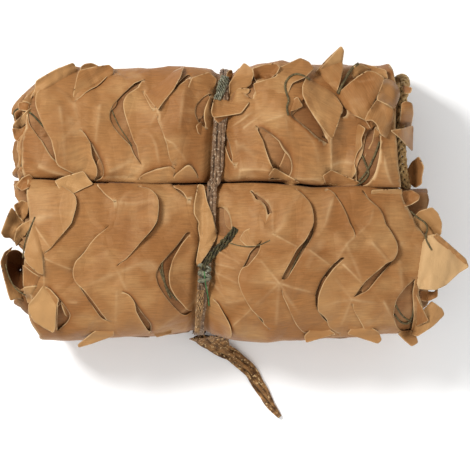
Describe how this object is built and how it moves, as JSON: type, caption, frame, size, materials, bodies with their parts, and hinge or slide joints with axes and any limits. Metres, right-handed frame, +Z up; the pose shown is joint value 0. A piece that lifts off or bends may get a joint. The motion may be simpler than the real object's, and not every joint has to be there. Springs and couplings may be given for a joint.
{
  "type": "camouflage net, rolled and tied",
  "caption": "Leaf-cut camouflage net packed as a double roll: two wound rolls side by side on one flat back layer, tied round the middle with a flat strap whose end lies loose.",
  "frame": {"origin": "on the flat underside of the bundle, near the middle of its length and width", "axes": "+X along the two rolls, +Y across them from the near, larger roll to the far one, +Z up off the surface that the bundle lies on"},
  "size_m": [0.374, 0.294, 0.1121],
  "materials": {
    "leaf_cloth": "thin tan polyester with a fine rib and a slight sheen, cut edges paler",
    "net_layers": "the same cloth in the layers below, darker in the folds, on thin olive cords",
    "strap": "flat twisted brown strap with pale flecks",
    "knot": "grey-green cord pulled tight",
    "rope": "straw-coloured braided rope"
  },
  "bodies": {
    "root": {"leaf_cloth": "leaf_cloth", "net_roll": "net_layers", "tie_strap": "strap", "tie_knot": "knot", "tie_tail": "strap", "edge_rope": "rope"}
  },
  "joints": []
}
